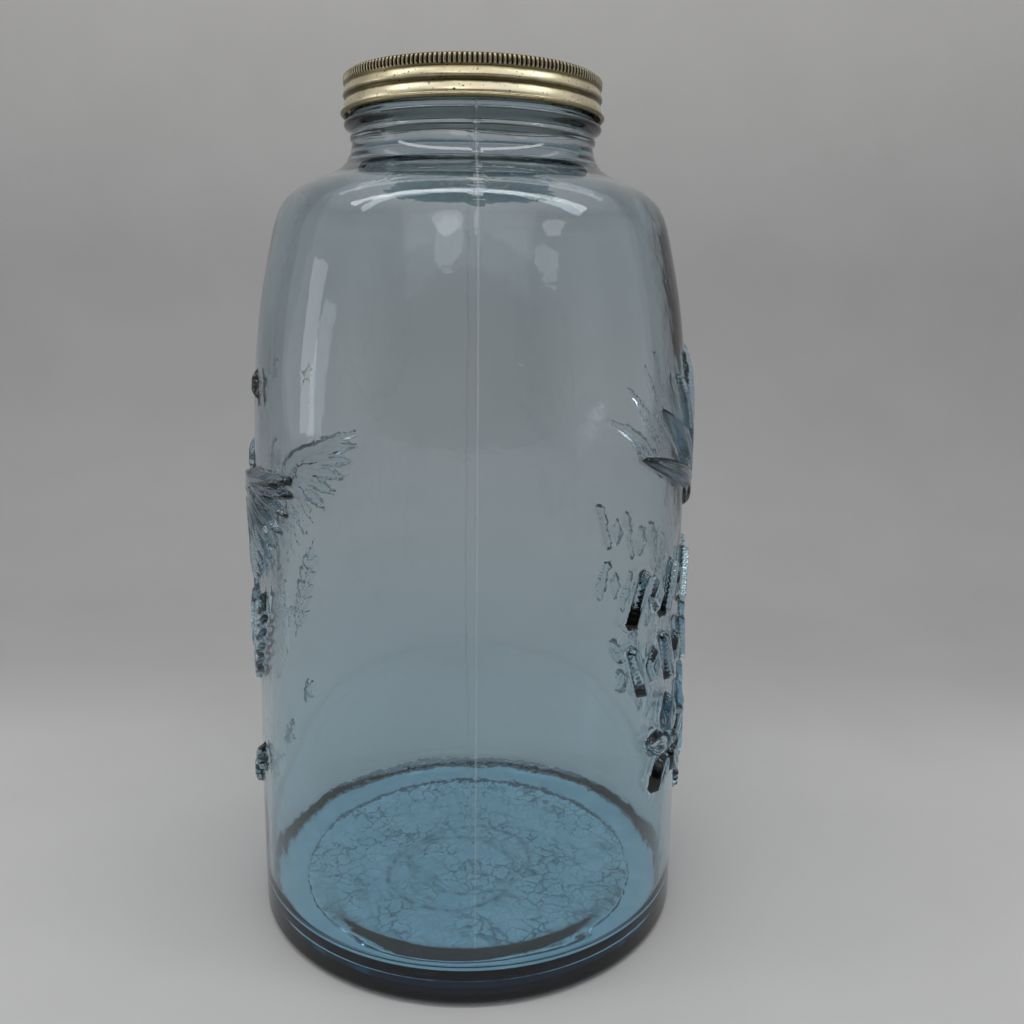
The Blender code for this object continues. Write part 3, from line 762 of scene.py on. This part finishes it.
def build_lights():
    """A bright surround that is darker toward the open front, soft boxes, and a glow under the base."""
    world = bpy.data.worlds.new("studio")
    bpy.context.scene.world = world
    world.use_nodes = True
    tree = world.node_tree
    place = tree.nodes.new("ShaderNodeTexCoord")
    split = tree.nodes.new("ShaderNodeSeparateXYZ")
    tree.links.new(place.outputs["Generated"], split.inputs[0])
    fades = []
    for axis, low, high in (("Y", -0.90, -0.40), ("Z", 0.30, 0.55)):
        fade = tree.nodes.new("ShaderNodeMapRange")
        fade.interpolation_type = "SMOOTHSTEP"
        fade.inputs["From Min"].default_value = low
        fade.inputs["From Max"].default_value = high
        tree.links.new(split.outputs[axis], fade.inputs["Value"])
        fades.append(fade.outputs["Result"])
    either = tree.nodes.new("ShaderNodeMath")
    either.operation = "MAXIMUM"
    tree.links.new(fades[0], either.inputs[0])
    tree.links.new(fades[1], either.inputs[1])
    strength = tree.nodes.new("ShaderNodeMapRange")
    strength.inputs["To Min"].default_value = 0.05
    strength.inputs["To Max"].default_value = 0.50
    tree.links.new(either.outputs[0], strength.inputs["Value"])
    tree.links.new(strength.outputs["Result"], tree.nodes["Background"].inputs["Strength"])
    tree.nodes["Background"].inputs["Color"].default_value = (0.97, 0.985, 1.0, 1)
    softbox("overhead", (0.0, -0.24, 1.05), (0, 0, 0), (1.9, 0.10), 3.4)
    softbox("front_top", (0.0, -0.85, 1.00), (0, 0, 0.35), (1.3, 0.40), 0.9)
    softbox("wall_wash", (0, 0.30, 1.40), (0, 0.80, 0.45), (2.2, 0.2), 1.9)
    softbox("left_strip", (-1.20, -0.12, 0.42), (0, 0, 0.30), (0.22, 0.55), 0.60)
    softbox("lamp_left", (-0.20, -0.95, 0.97), (0, 0, 0.3), (0.30, 0.26), 0.38, "ELLIPSE")
    softbox("lamp_right", (0.90, -0.80, 1.00), (0, 0, 0.3), (0.30, 0.16), 0.24, "ELLIPSE")
    softbox("under_glow", (0, 0, -0.2 * MM), (0, 0, 1), (0.217, 0.217), 0.040, "DISK", (0.70, 0.97, 1.08))


CAMERA_PLACE = (0.0212, -0.5007, 0.3193)
CAMERA_DOWN, CAMERA_ROLL = math.radians(12.575), math.radians(0.8)
SENSOR_MM, LENS_MM = 36.0, 34.66


def build_camera():
    data = bpy.data.cameras.new("camera")
    data.sensor_width = SENSOR_MM
    data.lens = LENS_MM
    camera = bpy.data.objects.new("camera", data)
    bpy.context.scene.collection.objects.link(camera)
    tilt = Matrix.Rotation(math.radians(90) - CAMERA_DOWN, 4, "X")
    roll = Matrix.Rotation(CAMERA_ROLL, 4, "Z")
    camera.matrix_world = Matrix.Translation(CAMERA_PLACE) @ tilt @ roll
    bpy.context.scene.camera = camera


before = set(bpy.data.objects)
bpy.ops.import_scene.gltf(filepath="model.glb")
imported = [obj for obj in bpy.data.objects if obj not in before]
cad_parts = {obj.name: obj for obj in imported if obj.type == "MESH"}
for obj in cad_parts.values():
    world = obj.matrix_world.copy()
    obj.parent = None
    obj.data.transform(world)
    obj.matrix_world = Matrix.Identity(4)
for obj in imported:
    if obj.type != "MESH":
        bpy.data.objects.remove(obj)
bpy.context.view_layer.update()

jar = build_jar()
jar.data.materials.append(glass_look())
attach(jar, "jar")
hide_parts("jar")

cap = build_cap()
cap.data.materials.append(gold_look())
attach(cap, "cap")
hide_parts("cap_shell")

liner_looks = {
    "liner_board": board_look("pulpboard", (0.40, 0.34, 0.26), (0.62, 0.55, 0.44)),
    "liner_facing": board_look("facing", (0.72, 0.70, 0.64), (0.86, 0.85, 0.80)),
}
for node, look in liner_looks.items():
    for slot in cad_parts[node].material_slots:
        slot.material = look

build_stage()
build_lights()
build_camera()
bpy.context.scene.view_settings.view_transform = "Standard"
